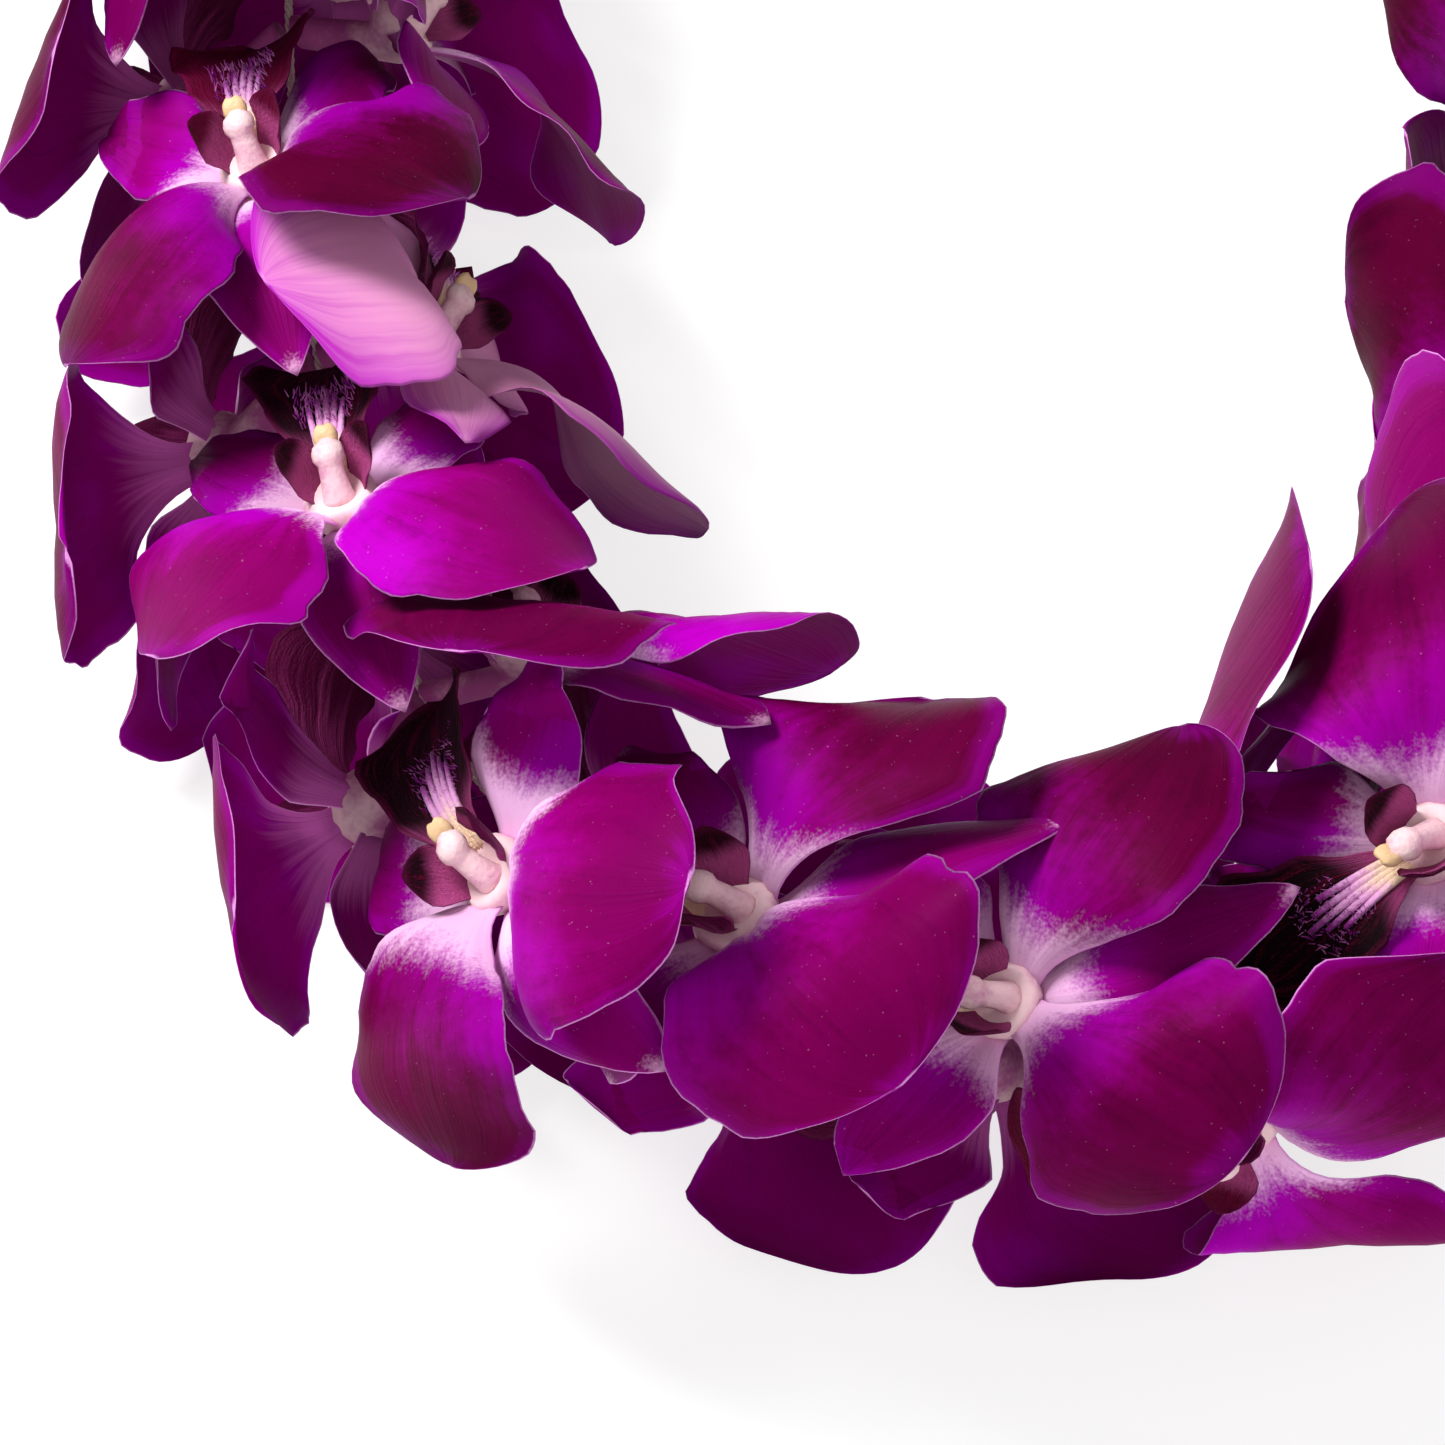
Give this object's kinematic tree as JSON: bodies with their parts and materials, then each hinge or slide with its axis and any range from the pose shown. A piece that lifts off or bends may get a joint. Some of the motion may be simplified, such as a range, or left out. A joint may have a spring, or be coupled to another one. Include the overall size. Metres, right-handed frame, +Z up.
{
  "type": "double orchid lei",
  "caption": "Limp closed garland of magenta dendrobium orchid blooms strung back to back on a hidden string, lying flat in a long loop; worn round the neck.",
  "frame": {"origin": "middle of the lei's box, on the surface that it lies on", "axes": "+Z up from that surface, +Y along the length of the loop, +X across it"},
  "size_m": [0.2444, 0.4253, 0.0676],
  "materials": {
    "petals": "soft satin orchid petal, magenta, with a pale speckled base and maroon lip",
    "string": "matte plied cotton thread"
  },
  "bodies": {
    "root": {"bloom_pair_01": "petals", "bloom_pair_02": "petals", "bloom_pair_03": "petals", "bloom_pair_04": "petals", "bloom_pair_05": "petals", "bloom_pair_06": "petals", "bloom_pair_07": "petals", "bloom_pair_08": "petals", "bloom_pair_09": "petals", "bloom_pair_10": "petals", "bloom_pair_11": "petals", "bloom_pair_12": "petals", "bloom_pair_13": "petals", "bloom_pair_14": "petals", "bloom_pair_15": "petals", "bloom_pair_16": "petals", "bloom_pair_17": "petals", "bloom_pair_18": "petals", "bloom_pair_19": "petals", "bloom_pair_20": "petals", "bloom_pair_21": "petals", "bloom_pair_22": "petals", "bloom_pair_23": "petals", "bloom_pair_24": "petals", "bloom_pair_25": "petals", "bloom_pair_26": "petals", "bloom_pair_27": "petals", "bloom_pair_28": "petals", "bloom_pair_29": "petals", "bloom_pair_30": "petals", "bloom_pair_31": "petals", "bloom_pair_32": "petals", "bloom_pair_33": "petals", "bloom_pair_34": "petals", "bloom_pair_35": "petals", "bloom_pair_36": "petals", "bloom_pair_37": "petals", "bloom_pair_38": "petals", "string": "string"}
  },
  "joints": []
}
